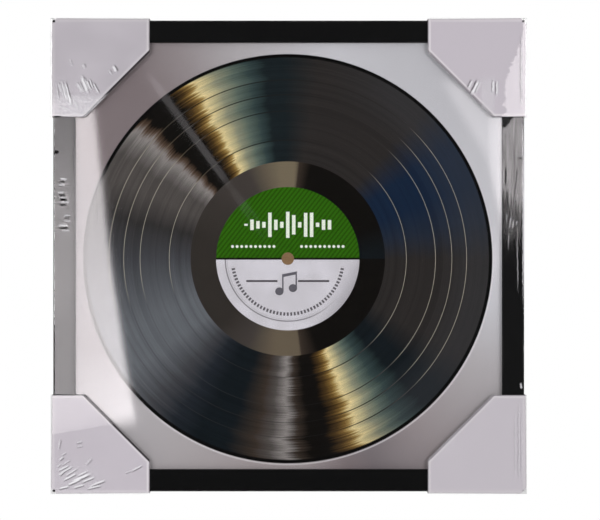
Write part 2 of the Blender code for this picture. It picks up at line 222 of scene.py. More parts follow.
class Surface:
    """A material in the making, with the place on the piece in millimetres."""

    def __init__(self, name):
        self.material = bpy.data.materials.new(name)
        self.material.use_nodes = True
        self.tree = self.material.node_tree
        self.shader = self.tree.nodes["Principled BSDF"]
        self.output = self.tree.nodes["Material Output"]
        self.coordinates = add_node(self.tree, "TexCoord").outputs["Object"]

    def mapped(self, stretch=(1, 1, 1), centre=(0, 0, 0), turn=0.0):
        """The place in millimetres from a centre, turned about Y and then stretched."""
        shift = add_node(self.tree, "VectorMath", operation="SUBTRACT")
        self.tree.links.new(self.coordinates, shift.inputs[0])
        shift.inputs[1].default_value = centre
        turned = add_node(self.tree, "Mapping")
        self.tree.links.new(shift.outputs[0], turned.inputs["Vector"])
        turned.inputs["Rotation"].default_value = (0, turn, 0)
        sized = add_node(self.tree, "VectorMath", operation="MULTIPLY")
        self.tree.links.new(turned.outputs[0], sized.inputs[0])
        sized.inputs[1].default_value = tuple(MM * part for part in stretch)
        return sized.outputs[0]

    def axes(self, place):
        """The three parts of a place or a direction, as fields."""
        node = add_node(self.tree, "SeparateXYZ")
        self.tree.links.new(place, node.inputs[0])
        return [Field(self.tree, socket) for socket in node.outputs]

    def noise(self, place, scale, detail=2.0, rough=0.5):
        """Noise about 0.5, over a place or along a single field."""
        node = add_node(self.tree, "TexNoise")
        if isinstance(place, Field):
            node.noise_dimensions = "1D"
            feed(self.tree, node.inputs["W"], place)
        else:
            self.tree.links.new(place, node.inputs["Vector"])
        node.inputs["Scale"].default_value = scale
        node.inputs["Detail"].default_value = detail
        node.inputs["Roughness"].default_value = rough
        return Field(self.tree, node.outputs[0])

    def cloud(self, scale, detail=2.0, rough=0.5):
        """Noise over the piece, with its scale in waves per millimetre."""
        return self.noise(self.mapped(), scale, detail, rough)

    def cells(self, place, scale):
        """The distance to the nearest of many scattered points, in cell widths."""
        node = add_node(self.tree, "TexVoronoi")
        self.tree.links.new(place, node.inputs["Vector"])
        node.inputs["Scale"].default_value = scale
        return Field(self.tree, node.outputs["Distance"])

    def bump(self, height, depth):
        """A normal that leans with a height, given as a share of a depth in metres."""
        node = add_node(self.tree, "Bump")
        feed(self.tree, node.inputs["Height"], height)
        node.inputs["Distance"].default_value = depth
        return node.outputs[0]

    def on_front(self):
        """1 on faces that look out of the frame's front, 0 elsewhere."""
        geometry = add_node(self.tree, "NewGeometry")
        _, depth, _ = self.axes(geometry.outputs["True Normal"])
        return rise(depth, -0.4, -0.6)

    def set(self, **values):
        """Feeds the shader's inputs, named in lower case with underscores."""
        for name, value in values.items():
            socket_name = name.replace("_", " ").title().replace("Ior", "IOR")
            feed(self.tree, self.shader.inputs[socket_name], value)


def along_line(x, z, line):
    """How far a place is along a line from start to end, from 0 to 1, and how far off it."""
    start_x, start_z, end_x, end_z = line
    length = math.hypot(end_x - start_x, end_z - start_z)
    way_x = (end_x - start_x) / length
    way_z = (end_z - start_z) / length
    from_x = x - start_x
    from_z = z - start_z
    along = (from_x * way_x + from_z * way_z) / length
    off = from_x * way_z - from_z * way_x
    return along, off


def dress(node, surface):
    """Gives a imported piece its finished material."""
    slots = frame["nodes"][node].data.materials
    slots.clear()
    slots.append(surface.material)


# The printed record

PRINT_CENTRE = (-0.0007, 0, -0.1659)
RECORD_RADIUS = 151.0
GROOVES_END = 148.5
GROOVES_START = 71.8
LABEL_RADIUS = 52.9
HOLE_RADIUS = 4.6
TRACK_BREAKS = (87.5, 109.0, 121.1, 132.0)

# How many degrees the edges of the sheen jag and sway
JAG = 6.5
SWAY = 5.0

# The label's stripes, bars, dots and ticks: how far apart they are, the ticks in degrees
STRIPE_PITCH = 2.7
BAR_PITCH = 4.4
DOT_PITCH = 3.4
TICK_PITCH = 3.6

# Brings the inks to their tones in this light
PRINT_LIFT = 1.48

# Printing inks, mixed and rounded
NIGHT = ink(14, 12, 10)
CHARCOAL = ink(40, 37, 36)
GRAPHITE = ink(45, 43, 43)
SLATE = ink(60, 61, 65)
STEEL = ink(90, 93, 98)
MIDNIGHT = ink(16, 22, 26)
DEEP_TEAL = ink(22, 29, 32)
NAVY = ink(18, 32, 52)
INDIGO = ink(30, 37, 50)
DUSK_BLUE = ink(30, 34, 40)
TEAL = ink(48, 62, 62)
SEA_GREY = ink(82, 94, 86)
SAGE = ink(126, 128, 108)
PALE_GOLD = ink(204, 187, 138)
OCHRE = ink(145, 120, 70)
BRONZE = ink(104, 80, 40)
UMBER = ink(62, 45, 22)
SEPIA = ink(50, 42, 36)
RUST = ink(76, 60, 48)
SILVER = ink(125, 120, 118)
PEWTER = ink(96, 92, 90)
ASH = ink(72, 68, 66)
TAUPE = ink(60, 55, 52)
DUSK = ink(46, 42, 39)
CLAY = ink(106, 96, 79)
WARM_GREY = ink(94, 84, 70)
PEARL = ink(186, 185, 190)
SOFT_PEARL = ink(179, 178, 183)
BRIGHT_PEARL = ink(202, 200, 205)
DOVE = ink(165, 161, 164)
MAUVE_GREY = ink(138, 130, 132)
ROSE_GREY = ink(150, 142, 143)
PLUM_GREY = ink(118, 108, 110)
SHADE_GREY = ink(110, 103, 106)
STRAW_LINE = ink(170, 165, 150)
DARK_LINE = ink(12, 14, 12)

# The sheen round the record: degrees anticlockwise from the right, and ink
UPPER_SHEEN = (
    (0, CHARCOAL), (11, INDIGO), (22, NAVY), (35, NAVY), (47, CHARCOAL), (81, CHARCOAL),
    (91, DEEP_TEAL), (97, DEEP_TEAL), (102, TEAL), (107, SEA_GREY), (112, SAGE),
    (118, PALE_GOLD), (119.5, OCHRE), (121, BRONZE), (123, UMBER), (126, NIGHT),
    (135, NIGHT), (137.5, RUST), (140, SILVER), (144, PEWTER), (148, ASH), (155, ASH),
    (166, GRAPHITE), (180, SLATE),
)
LOWER_SHEEN = (
    (180, SLATE), (204, STEEL), (216, STEEL), (227, SLATE), (235, DUSK_BLUE),
    (243, MIDNIGHT), (252, MIDNIGHT), (260, SEPIA), (265, ASH), (269.5, SILVER),
    (271, PEWTER), (273, SEPIA), (277, NIGHT), (283, NIGHT), (286.5, UMBER), (289, BRONZE),
    (290.5, OCHRE), (292.5, PALE_GOLD), (298, SAGE), (302, SEA_GREY), (306, TEAL),
    (313, MIDNIGHT), (320, MIDNIGHT), (331, CHARCOAL), (360, CHARCOAL),
)
INNER_SHEEN = (
    (0, MIDNIGHT), (20, NIGHT), (76, NIGHT), (83, SEPIA), (85, CLAY), (95, CLAY),
    (115, TAUPE), (165, DUSK), (225, DUSK), (245, TAUPE), (262, WARM_GREY),
    (277, WARM_GREY), (278.5, SEPIA), (288, NIGHT), (360, NIGHT),
)
GROUND_SHEEN = (
    (0, BRIGHT_PEARL), (12, PEARL), (40, SOFT_PEARL), (62, SOFT_PEARL), (78, PEARL),
    (103, DOVE), (118, MAUVE_GREY), (130, PLUM_GREY), (150, PLUM_GREY), (165, SHADE_GREY),
    (205, SHADE_GREY), (226, DOVE), (262, ROSE_GREY), (274, ROSE_GREY), (286, PLUM_GREY),
    (293, SHADE_GREY), (308, MAUVE_GREY), (332, DOVE), (346, PEARL), (360, BRIGHT_PEARL),
)
BREAK_INKS = (
    (0, STRAW_LINE), (38, STRAW_LINE), (47, GRAPHITE), (60, CHARCOAL), (122, DARK_LINE),
    (126, ASH), (137, CLAY), (146, STRAW_LINE), (186, STRAW_LINE), (198, SLATE),
    (250, GRAPHITE), (300, DARK_LINE), (313, ASH), (321, STRAW_LINE), (360, STRAW_LINE),
)


def by_angle(turn, stops, first=0.0, last=360.0):
    """A colour that runs round the record, from stops in degrees."""
    share = (turn * 360.0 - first) / (last - first)
    return ramp(share, [((angle - first) / (last - first), colour) for angle, colour in stops])


def bar(x, z, left, right, low, high):
    """1 on an upright bar with crisp edges."""
    soft = 0.15
    across = band(x, (left + right) / 2, (right - left) / 2, soft)
    up = band(z, (low + high) / 2, (high - low) / 2, soft)
    return across * up


def dot(x, z, middle):
    """1 on a slightly flattened dot."""
    off_x = x - middle[0]
    off_z = (z - middle[1]) / 0.95
    return rise((off_x * off_x + off_z * off_z).root(), 3.25, 2.95)


def record_label(surface, x, z, radius, turn):
    """A green half with pin stripes, bars and dots, over a pale half with a note and ticks."""
    tree = surface.tree
    lean = math.radians(52)
    stripes = (x * math.sin(lean) - z * math.cos(lean)).repeat(STRIPE_PITCH).size()
    green = blend(tree, ink(42, 92, 10), ink(34, 72, 6), rise(stripes, 0.8, 0.3))
    step = (x / BAR_PITCH + 0.5).math("FLOOR")
    reach = (step * 0.9).math("COSINE") * (step * 2.1 + 0.6).math("COSINE")
    height = (reach.size() * 9.5 + 1.8) * rise(step.size(), 9.5, 3.0)
    bars = rise(x.repeat(BAR_PITCH).size(), 1.45, 1.1)
    bars = bars * rise((z - 25.0).size() - height, 0.2, -0.2) * rise(step.size(), 7.6, 7.4)
    dot_x = x.repeat(DOT_PITCH)
    dot_z = z - 9.0
    dots = rise((dot_x * dot_x + dot_z * dot_z).root(), 1.25, 0.85) * rise(x.size(), 43.0, 42.6)
    dots = dots * rise(x.size(), 8.0, 8.4)
    upper = blend(tree, green, ink(216, 222, 208), bars.most(dots))
    mottle = surface.cloud(0.05, 3.0)
    lower = blend(tree, ink(188, 185, 191), ink(198, 195, 202), rise(mottle, 0.35, 0.65))
    lower = blend(tree, lower, ink(140, 137, 143), rise(x - z * 0.6, 45.0, 64.0) * 0.7)
    tick_turn = (turn * 360.0).repeat(TICK_PITCH).size() * radius * (math.pi / 180)
    ticks = rise(tick_turn, 0.85, 0.6) * band(radius, 40.9, 1.25, 0.15)
    ticks = ticks * band(turn, 0.75, 0.227, 0.002)
    rings = band(radius, 46.1, 0.45, 0.3).most(band(radius, 44.7, 0.2, 0.3) * 0.35)
    rings = rings * rise(x + z * 0.5, 24.0, -10.0)
    marks = (ticks * 0.9).most(rings * 0.7)
    marks = marks.most(bar(x, z, -30.6, -7.6, -17.2, -15.8))
    marks = marks.most(bar(x, z, 7.6, 30.6, -17.2, -15.8))
    lower = blend(tree, lower, ink(64, 60, 65), marks)
    symbol = dot(x, z, (-6.2, -24.1)).most(dot(x, z, (3.8, -21.7)))
    symbol = symbol.most(bar(x, z, -4.2, -3.1, -24.1, -11.4))
    symbol = symbol.most(bar(x, z, 5.7, 6.8, -21.7, -9.4))
    symbol = symbol.most(bar(x, z - x * 0.2, -4.2, 6.8, -12.9, -10.7))
    lower = blend(tree, lower, ink(90, 88, 95), symbol)
    label = blend(tree, lower, upper, rise(z, -0.12, 0.12))
    label = blend(tree, label, ink(18, 22, 12), band(z, 0.0, 0.75, 0.2))
    hole = rise(radius, HOLE_RADIUS + 0.2, HOLE_RADIUS - 0.2)
    wood = surface.noise(surface.mapped((0.3, 1, 1.5)), 1.2, 3.0)
    return blend(tree, label, blend(tree, ink(108, 84, 60), ink(136, 110, 82), wood), hole)


def record_grooves(surface, x, radius, turn):
    """The grooved band, with the sheen that its grooves throw out in wedges."""
    tree = surface.tree
    angle = turn * 360.0
    ragged = band(angle, 123.0, 7.0, 4.0).most(band(angle, 288.0, 6.0, 4.0)) * 0.75 + 0.25
    fuzzy = band(angle, 139.0, 4.0, 4.0).most(band(angle, 271.0, 5.0, 4.0)) * 0.7
    jag = (surface.noise(radius + 7.0, 0.55, 3.0, 0.75) - 0.5) * ragged
    jag = jag + (surface.noise(radius + 55.0, 0.85, 2.0, 0.7) - 0.5) * fuzzy
    sway = surface.noise(radius + 90.0, 0.11, 1.0) - 0.5
    bent = (turn + jag * (JAG / 360) + sway * (SWAY / 360)).math("FRACT")
    upper = by_angle(bent, UPPER_SHEEN, 0.0, 180.0)
    lower = by_angle(bent, LOWER_SHEEN, 180.0, 360.0)
    sheen = blend(tree, upper, lower, rise(bent, 0.4999, 0.5001))
    fine = surface.noise(radius, 1.9, 2.0, 0.7)
    wide = surface.noise(radius + 40.0, 0.22)
    grooves = (fine - 0.5) * 0.75 + (wide - 0.5) * 0.45 + 1.0
    sheen = blend(tree, sheen, grey(grooves), 1.0, "MULTIPLY")
    outward = rise(radius, 105.0, 142.0)
    right_side = rise(x, 20.0, 90.0)
    lifted = blend(tree, sheen, SLATE, outward * right_side * 0.3)
    dark = band(angle, 87.0, 38.0, 4.0).most(band(angle, 300.0, 12.0, 4.0))
    half = dark * 0.2 + 0.15
    distance = (radius - TRACK_BREAKS[0]).size()
    for place in TRACK_BREAKS[1:]:
        distance = distance.least((radius - place).size())
    breaks = rise(distance - half, 0.12, -0.12)
    return blend(tree, lifted, by_angle(turn, BREAK_INKS), breaks * 0.92)


def record_print():
    """Coated card with a life-size picture of a record on a pale metallic ground."""
    surface = Surface("record_print")
    tree = surface.tree
    x, _, z = surface.axes(surface.mapped(centre=PRINT_CENTRE))
    radius = (x * x + z * z).root()
    turn = (z.math("ARCTAN2", x) / math.tau + 1.0).math("FRACT")
    picture = by_angle(turn, GROUND_SHEEN)
    speckle = surface.cloud(0.9)
    picture = blend(tree, picture, grey(speckle * 0.08 + 0.96), 1.0, "MULTIPLY")
    halo = band(radius, RECORD_RADIUS + 0.9, 0.5, 0.3)
    halo = halo * rise(z, 90.0, -40.0) * rise(x, -112.0, -88.0)
    picture = blend(tree, picture, ink(214, 210, 214), halo * 0.5)
    grooved = record_grooves(surface, x, radius, turn)
    inner = by_angle(turn, INNER_SHEEN)
    inner_rings = surface.noise(radius, 1.3) * 0.3 + 0.85
    inner = blend(tree, inner, grey(inner_rings), 1.0, "MULTIPLY")
    disc_face = blend(tree, grooved, inner, rise(radius, GROOVES_START + 0.3, GROOVES_START - 0.3))
    rim = rise(radius, GROOVES_END - 0.3, GROOVES_END + 0.3)
    disc_face = blend(tree, disc_face, ink(9, 9, 9), rim)
    label = record_label(surface, x, z, radius, turn)
    disc_face = blend(tree, disc_face, label, rise(radius, LABEL_RADIUS + 0.2, LABEL_RADIUS - 0.2))
    on_disc = rise(radius, RECORD_RADIUS + 0.25, RECORD_RADIUS - 0.25)
    picture = blend(tree, picture, disc_face, on_disc)
    fibre = surface.cloud(1.6, 4.0, 0.6)
    plain = blend(tree, ink(206, 200, 190), ink(222, 218, 210), fibre)
    picture = blend(tree, picture, (PRINT_LIFT,) * 3 + (1.0,), 1.0, "MULTIPLY")
    surface.set(base_color=blend(tree, plain, picture, surface.on_front()))
    surface.set(roughness=fibre * 0.12 + 0.36, normal=surface.bump(fibre, 0.000004))
    surface.set(specular_ior_level=0.02)
    return surface


# Solid finishes


def black_wrap(name, lengthwise):
    """Black foil over fibreboard, with a faint grain along the rail, dust and rubbed edges."""
    surface = Surface(name)
    tree = surface.tree
    stretch = (0.06, 1.0, 1.4) if lengthwise else (1.4, 1.0, 0.06)
    grain = surface.noise(surface.mapped(stretch), 1.0, 4.0, 0.6)
    cloud = surface.cloud(0.03)
    x, _, z = surface.axes(surface.mapped(centre=(0, 0, MIDDLE_HEIGHT)))
    across = z.size() if lengthwise else x.size()
    edge = band(across, HALF_SIDE * MM, 0.9, 0.4).most(band(across, HALF_WINDOW * MM, 0.7, 0.3))
    rubbed = edge * rise(cloud, 0.5, 0.68)
    dust = rise(surface.cells(surface.mapped(), 0.09), 0.04, 0.015)
    colour = blend(tree, ink(8, 8, 8), ink(15, 15, 16), grain)
    colour = blend(tree, colour, ink(52, 50, 50), rubbed * 0.5)
    colour = blend(tree, colour, ink(150, 148, 146), dust * 0.35)
    surface.set(base_color=colour, roughness=grain * 0.16 + cloud * 0.1 + 0.3)
    surface.set(normal=surface.bump(grain, 0.00002), specular_ior_level=0.04)
    return surface


def screen_backed_board():
    """Brown hardboard with the print of the wire screen that it was pressed on."""
    surface = Surface("screen_backed_board")
    tree = surface.tree
    place = surface.mapped()
    x, _, z = surface.axes(place)
    fibre = surface.noise(surface.mapped((0.5, 1, 1.6)), 0.7, 5.0, 0.7)
    patch = surface.noise(place, 0.018, 3.0)
    weave = (x * (math.tau / 1.5)).math("SINE") * (z * (math.tau / 1.5)).math("SINE")
    colour = blend(tree, ink(104, 72, 46), ink(142, 104, 70), fibre)
    colour = blend(tree, colour, ink(92, 62, 40), rise(patch, 0.45, 0.7) * 0.6)
    colour = blend(tree, colour, ink(66, 44, 30), rise(weave, 0.2, 0.9) * 0.45)
    surface.set(base_color=colour, roughness=fibre * 0.2 + 0.62)
    surface.set(normal=surface.bump(weave * 0.6 + fibre, 0.00012), specular_ior_level=0.3)
    return surface


def fluted_board():
    """Kraft liner over flutes, which show on the edges."""
    surface = Surface("fluted_board")
    tree = surface.tree
    x, y, _ = surface.axes(surface.mapped())
    fibre = surface.noise(surface.mapped((0.25, 1, 1)), 1.2, 4.0, 0.6)
    flute = ((x * (math.tau / 7.0)).math("SINE") * 1.9 - y - 9.0).size()
    colour = blend(tree, ink(150, 116, 78), ink(176, 142, 100), fibre)
    colour = blend(tree, colour, ink(86, 62, 40), rise(flute, 0.7, 0.3) * 0.4)
    surface.set(base_color=colour, roughness=fibre * 0.15 + 0.76)
    surface.set(normal=surface.bump(fibre, 0.00003), specular_ior_level=0.25)
    return surface


def plated_metal(name, bright, dull, rough):
    """Thin plating over pressed steel: fine scratches, clouding and a few dark spots."""
    surface = Surface(name)
    tree = surface.tree
    brushed = surface.mapped((0.5, 3, 5), turn=0.5)
    scratch = surface.noise(brushed, 1.0, 3.0, 0.7)
    cloud = surface.cloud(0.5, 3.0)
    spots = rise(surface.cells(surface.mapped(), 0.5), 0.16, 0.05)
    colour = blend(tree, bright, dull, rise(cloud, 0.35, 0.7))
    colour = blend(tree, colour, ink(96, 88, 76), spots * 0.5)
    surface.set(base_color=colour, metallic=1.0)
    surface.set(roughness=scratch * 0.22 + cloud * 0.12 + rough)
    surface.set(normal=surface.bump(scratch, 0.00002))
    return surface


def protector_card():
    """White folded card: pale cut edges, scuffed folds, painted light and shade by corner and a
    painted shadow line at the diagonal.
    """
    surface = Surface("protector_card")
    tree = surface.tree
    place = surface.mapped()
    x, _, z = surface.axes(surface.mapped(centre=(0, 0, MIDDLE_HEIGHT)))
    in_x = x.size() * -1.0 + HALF_SIDE * MM
    in_z = z.size() * -1.0 + HALF_SIDE * MM
    to_cut = (in_x + in_z) * (-1 / math.sqrt(2)) + CARD_DIAGONAL * MM / math.sqrt(2)
    to_end = in_x.most(in_z) * -1.0 + CARD_REACH * MM
    to_fold = in_x.least(in_z)
    fibre = surface.noise(place, 1.5, 5.0, 0.65)
    cloud = surface.noise(place, 0.035, 3.0)
    colour = blend(tree, ink(188, 182, 189), ink(196, 190, 197), rise(cloud, 0.3, 0.7))
    # Painted shade darkens the top right and bottom left cards; painted light brightens the bottom
    # right card
    right = rise(x, -60.0, 60.0)
    painted_corner_shade = (right * rise(z, -60.0, 60.0)).most((right * -1.0 + 1.0) * rise(z, 60.0, -60.0) * 0.8)
    colour = blend(tree, colour, ink(187, 180, 188), painted_corner_shade)
    colour = blend(tree, colour, ink(198, 192, 199), right * rise(z, 60.0, -60.0))
    colour = blend(tree, colour, grey(fibre * 0.06 + 0.97), 1.0, "MULTIPLY")
    pale = band(to_end, 1.6, 0.6, 0.4).most(rise(to_fold, 1.5, 0.2) * 0.5)
    pale = pale.most(band(to_cut, 2.5, 0.45, 0.35))
    colour = blend(tree, colour, ink(216, 211, 214), pale * 0.75)
    # Painted shadow: a dark line along the diagonal edge, stronger on the left cards, and along the
    # short ends
    left = rise(x, 40.0, -40.0) * 0.45 + 0.5
    painted_edge_shadow = rise(to_cut, 1.75, 1.35) * left
    painted_end_shadow = rise(to_end, 0.7, 0.35) * 0.6
    colour = blend(tree, colour, ink(34, 27, 31), painted_edge_shadow.most(painted_end_shadow))
    surface.set(base_color=colour, roughness=fibre * 0.12 + 0.5)
    surface.set(normal=surface.bump(fibre, 0.00001), specular_ior_level=0.15)
    return surface


# Clear finishes

# Flat colours mixed into the film: white for stressed film and painted glints, dark for painted
# shade and dark marks
WHITE_FILM = ink(242, 240, 244)
DARK_FILM = ink(14, 12, 13)


def clear_shader(surface, base_share, roughness, normal=None, painted_shade_tint=None):
    """A clear sheet: what is behind it shows, less what its face mirrors."""
    tree = surface.tree
    weight = add_node(tree, "LayerWeight")
    weight.inputs["Blend"].default_value = 0.5
    facing = Field(tree, weight.outputs["Facing"])
    grazing = facing.power(5.0)
    share = (grazing * 0.95 + 1.0) * base_share
    through = add_node(tree, "BsdfTransparent")
    if painted_shade_tint is not None:
        feed(tree, through.inputs["Color"], grey(painted_shade_tint))
    mirror = add_node(tree, "BsdfGlossy")
    feed(tree, mirror.inputs["Roughness"], roughness)
    if normal is not None:
        tree.links.new(normal, mirror.inputs["Normal"])
    return mix_shaders(tree, (grazing * 0.35).most(share), through, mirror)


def mix_shaders(tree, share, first, second):
    """One shader turned into another by a share."""
    mix = add_node(tree, "MixShader")
    feed(tree, mix.inputs[0], share)
    tree.links.new(first.outputs[0], mix.inputs[1])
    tree.links.new(second.outputs[0], mix.inputs[2])
    return mix


def add_film(surface, clear, share, colour):
    """Mixes a flat colour into the sheet by a share over the surface: white for stressed film and
    painted glints and highlights, dark for painted shade and for dark marks at the corners' tips.
    """
    dull = add_node(surface.tree, "BsdfDiffuse")
    dull.inputs["Color"].default_value = colour
    return mix_shaders(surface.tree, share, clear, dull)


def show(surface, shader):
    """Shows a shader of its own in place of the surface's."""
    surface.tree.nodes.remove(surface.shader)
    surface.tree.links.new(shader.outputs[0], surface.output.inputs["Surface"])
    return surface


def glazing_sheet():
    """The clear sheet in the rebate, with a few smudges."""
    surface = Surface("glazing_sheet")
    smudge = surface.cloud(0.02, 3.0)
    wave = surface.cloud(0.012, 1.0)
    roughness = rise(smudge, 0.4, 0.75) * 0.015 + 0.02
    normal = surface.bump(wave, 0.00001)
    return show(surface, clear_shader(surface, GLAZING_GLOSS, roughness, normal))


def spot(x, z, middle, half_x, half_z):
    """1 on a small blurred spot."""
    off_x = (x - middle[0]) / half_x
    off_z = (z - middle[1]) / half_z
    return rise((off_x * off_x + off_z * off_z).root(), 1.2, 0.6)


def left_rail_gloss(surface, x, z):
    """How well the film mirrors along the left rail: less at its top and its inner edge."""
    inward = x * -1.0 - HALF_WINDOW * MM
    gloss = rise(z, 105.0, 22.0) * 0.38 + 0.64 - rise(z, -20.0, -60.0) * 0.1
    gloss = gloss - rise(inward, 4.5, 0.5) * 0.16
    lines = surface.noise(surface.mapped((0.12, 1, 1.25)), 1.0, 3.0, 0.6)
    across = band(inward, 8.2, 4.4, 2.0)
    zones = spot(x, z, (-165.0, 55.0), 9.0, 4.0).most(spot(x, z, (-165.0, 41.0), 9.0, 8.0))
    zones = zones.most(spot(x, z, (-165.0, 24.0), 9.0, 9.0)) * across
    return (gloss + (lines - 0.5) * 2.4 * zones).most(0.0)


def right_rail_gloss(surface, x, z):
    """How well the film mirrors along the right rail: it stops at a ragged edge half way down."""
    outward = x - HALF_WINDOW * MM
    streaks = surface.noise(surface.mapped((0.55, 1, 0.05)), 1.0, 3.0, 0.6)
    ragged = surface.noise(outward + 31.0, 0.6, 2.0, 0.7) - 0.5
    foot = rise(outward, 0.0, 8.0) * -10.0 + 45.0 + ragged * 30.0
    gloss = (rise(z - foot, -8.0, 8.0) * 0.95 + 0.05).most(band(z, 28.0, 16.0, 10.0) * 0.26)
    gloss = gloss * ((streaks - 0.5) * 1.6 + 0.94).most(0.0)
    patch = rise(outward - (z - 95.0) * 0.75, 3.4, 2.4) * rise(z, 94.0, 95.2)
    dark = patch.most(band(outward, 0.0, 0.4, 0.6) * 0.35)
    return gloss * (dark * -0.95 + 1.0)


# Pale creases with painted glints and highlights, and dark folds with painted shade and shadows,
# on the side rails, in millimetres from the frame's middle: the start, the end, half the width and
# the strength
RAIL_CREASES_AND_GLINTS = (
    (162.1, 19.9, 163.6, 28.7, 0.2, 0.36), (164.3, 19.9, 165.8, 27.2, 0.2, 0.34),
    (166.9, 22.1, 168.4, 26.5, 0.2, 0.3), (160.0, 24.0, 160.7, 32.0, 0.2, 0.2),
    (161.5, 4.0, 161.9, 17.0, 0.2, 0.14), (168.0, 22.0, 168.6, -28.0, 0.3, 0.14),
    (170.6, -93.0, 171.4, -98.0, 0.5, 0.35), (172.5, 105.0, 172.5, -40.0, 0.4, 0.4),
    (-168.5, 56.8, -163.0, 56.4, 0.45, 0.42), (-169.5, 52.6, -164.5, 52.0, 0.45, 0.36),
    (-170.0, 46.6, -165.0, 46.9, 0.45, 0.42), (-169.5, 43.0, -163.5, 42.8, 0.45, 0.36),
    (-168.0, 39.4, -161.0, 39.8, 0.45, 0.46), (-166.0, 29.6, -160.5, 30.0, 0.45, 0.36),
    (-165.5, 25.8, -160.5, 25.4, 0.45, 0.3), (-170.5, 22.6, -162.0, 22.4, 0.45, 0.46),
    (-167.0, 18.4, -160.5, 18.8, 0.45, 0.36),
)
RAIL_FOLDS_AND_SHADE = (
    (-169.0, 54.9, -164.0, 54.4, 0.5, 0.7), (-169.5, 44.8, -164.0, 44.6, 0.5, 0.6),
    (-169.0, 37.4, -163.0, 37.8, 0.5, 0.6), (-170.0, 20.6, -161.5, 20.4, 0.5, 0.7),
    (-166.0, 27.9, -160.5, 27.7, 0.4, 0.5), (-172.8, 76.5, -168.8, 76.5, 1.0, 1.0),
    (-168.6, 41.6, -163.0, 41.3, 0.8, 1.0), (169.6, 72.2, 172.4, 71.8, 0.5, 0.75),
    (159.6, 66.0, 159.4, 51.0, 0.45, 0.75), (168.2, 66.0, 166.2, 44.0, 0.3, 0.4),
    (166.2, 50.0, 165.4, 33.0, 0.35, 0.4), (160.4, 50.0, 160.8, 33.0, 0.6, 0.5),
    (164.0, 44.0, 163.6, 31.0, 0.3, 0.35),
)


def stroke(x, z, line):
    """A crease line that tapers at both ends, and the painted shade along its right side."""
    *run, half, strength = line
    along, off = along_line(x, z, run)
    taper = band(along, 0.5, 0.36, 0.16) * strength
    light = rise(off.size(), half + 0.4, half * 0.5) * taper
    side = 1.0 if run[3] > run[1] else -1.0
    shade = rise((off - side * (half + 0.5)).size(), half * 0.8 + 0.4, 0.2) * taper
    return light, shade


def strokes(x, z, lines):
    """All the crease lines of a list, and all their painted shades."""
    lights, shades = zip(*[stroke(x, z, line) for line in lines])
    return reduce(Field.most, lights), reduce(Field.most, shades)


def front_film():
    """The look of the film over the front: taut over the window, creased along the rails, with
    painted glints and painted shade on the creases.
    """
    surface = Surface("front_film")
    x, _, z = surface.axes(surface.mapped(centre=(0, 0, MIDDLE_HEIGHT)))
    slow = surface.cloud(0.016)
    on_left = rise(x, -HALF_WINDOW * MM + 0.8, -HALF_WINDOW * MM - 0.2)
    on_right = rise(x, HALF_WINDOW * MM - 0.8, HALF_WINDOW * MM + 0.2)
    left = (left_rail_gloss(surface, x, z) - 1.0) * on_left
    right = (right_rail_gloss(surface, x, z) - 1.0) * on_right
    gloss = left + right + 1.0
    warp = surface.cloud(0.35) - 0.5
    # Pale creases carry painted glints; dark folds carry painted shade
    creases_and_glints, _ = strokes(x + warp * 1.2, z + warp * 0.8, RAIL_CREASES_AND_GLINTS)
    dark_folds_and_shade, _ = strokes(x + warp * 1.2, z + warp * 0.8, RAIL_FOLDS_AND_SHADE)
    haze = surface.cloud(0.025, 3.0)
    normal = surface.bump(slow * 0.06, 0.0001)
    clear = clear_shader(surface, gloss * FILM_GLOSS, haze * 0.02 + 0.02, normal)
    clear = add_film(surface, clear, creases_and_glints, WHITE_FILM)
    return show(surface, add_film(surface, clear, dark_folds_and_shade, DARK_FILM))
